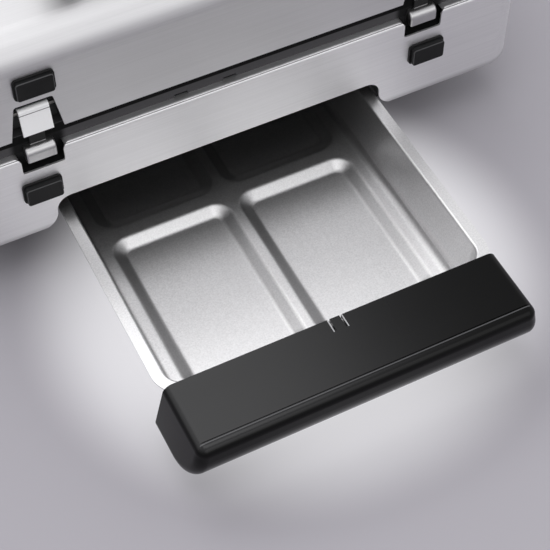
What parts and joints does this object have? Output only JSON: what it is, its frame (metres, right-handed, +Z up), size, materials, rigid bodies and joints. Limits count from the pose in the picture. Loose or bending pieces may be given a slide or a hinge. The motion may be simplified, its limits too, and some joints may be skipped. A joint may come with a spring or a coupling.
{
  "type": "smokeless grill",
  "caption": "Closed contact grill with steel skirt and lid, latch levers, ridged heated plates, side controls, and a pull-out drip tray with sunken basins under a dark handle.",
  "frame": {"origin": "On the table under the middle of the part's box, with the tray pulled out as in the picture.", "axes": "+Z up, the tray pulls out along -Y, +X to the right of a person who faces the tray."},
  "size_m": [0.4574, 0.5345, 0.2375],
  "materials": {
    "brushed_steel_skin": "horizontal brushed",
    "tray_steel": "satin, fine grained",
    "black_moulding": "black, soft gloss",
    "dark_band": "dark grey, fine matte",
    "coated_plate": "dark non-stick coat",
    "heater_tube": "dulled by heat",
    "bright_sheet": "bright rolled sheet",
    "zinc_steel": "satin",
    "chrome_trim": "polished",
    "black_rubber": "black, satin",
    "red_lens": "clear red",
    "brass_blade": "plain"
  },
  "bodies": {
    "base": {"base_shell": "brushed_steel_skin", "bottom_pan": "black_moulding", "drain_chute": "bright_sheet", "rubber_feet": "black_rubber", "foot_screws": "zinc_steel", "rail_rivets": "zinc_steel", "deck_ring": "dark_band", "lower_plate": "coated_plate", "lower_heater": "heater_tube", "lower_heater_clips": "bright_sheet", "lower_reflector": "bright_sheet", "hinge_base_screws": "zinc_steel", "mains_inlet": "black_moulding", "inlet_pins": "brass_blade", "tray_rail_left": "zinc_steel", "tray_rail_right": "zinc_steel", "hinge_base_left": "zinc_steel", "hinge_base_right": "zinc_steel", "hinge_pin_left": "zinc_steel", "hinge_pin_right": "zinc_steel", "keeper_left": "zinc_steel", "keeper_right": "zinc_steel", "keeper_pocket_left": "black_moulding", "keeper_pocket_right": "black_moulding", "base_bumper_left": "black_rubber", "base_bumper_right": "black_rubber", "knob_bezel_left": "black_moulding", "knob_bezel_right": "black_moulding", "thermostat_left": "black_moulding", "thermostat_right": "black_moulding", "pilot_lamp_left": "red_lens", "pilot_lamp_right": "red_lens"},
    "lid": {"lid_shell": "brushed_steel_skin", "lid_liner": "dark_band", "upper_plate": "coated_plate", "upper_heater": "heater_tube", "upper_heater_clips": "bright_sheet", "upper_reflector": "bright_sheet", "lid_grip": "chrome_trim", "grip_caps": "chrome_trim", "hinge_lid_screws": "zinc_steel", "lid_post_left": "black_moulding", "lid_post_right": "black_moulding", "hinge_lid_left": "zinc_steel", "hinge_lid_right": "zinc_steel", "latch_pocket_left": "black_moulding", "latch_pocket_right": "black_moulding", "latch_pin_left": "zinc_steel", "latch_pin_right": "zinc_steel", "lid_bumper_left": "black_rubber", "lid_bumper_right": "black_rubber"},
    "tray": {"drip_tray": "tray_steel", "tray_handle": "black_moulding", "tray_screws": "zinc_steel"},
    "latch_left": {"latch_lever_left": "chrome_trim"},
    "control_left": {"knob_left": "black_moulding", "knob_shaft_left": "zinc_steel"},
    "latch_right": {"latch_lever_right": "chrome_trim"},
    "control_right": {"knob_right": "black_moulding", "knob_shaft_right": "zinc_steel"}
  },
  "joints": [
    {"name": "tray_slide", "type": "slide", "parent": "base", "child": "tray", "axis": [0, -1, 0], "range_m": [-0.15, 0.11]},
    {"name": "lid_hinge", "type": "hinge", "parent": "base", "child": "lid", "pos_m": [0, 0.26225, 0.11625], "axis": [-1, 0, 0], "range_deg": [0, 100]},
    {"name": "latch_turn_left", "type": "hinge", "parent": "lid", "child": "latch_left", "pos_m": [-0.131, -0.06165, 0.1428], "axis": [-1, 0, 0], "range_deg": [-12, 50]},
    {"name": "knob_turn_left", "type": "hinge", "parent": "base", "child": "control_left", "pos_m": [-0.2161, 0.04475, 0.074], "axis": [-1, 0, 0], "range_deg": [-270, 0]},
    {"name": "latch_turn_right", "type": "hinge", "parent": "lid", "child": "latch_right", "pos_m": [0.131, -0.06165, 0.1428], "axis": [-1, 0, 0], "range_deg": [-12, 50]},
    {"name": "knob_turn_right", "type": "hinge", "parent": "base", "child": "control_right", "pos_m": [0.2161, 0.04475, 0.074], "axis": [1, 0, 0], "range_deg": [-270, 0]}
  ]
}
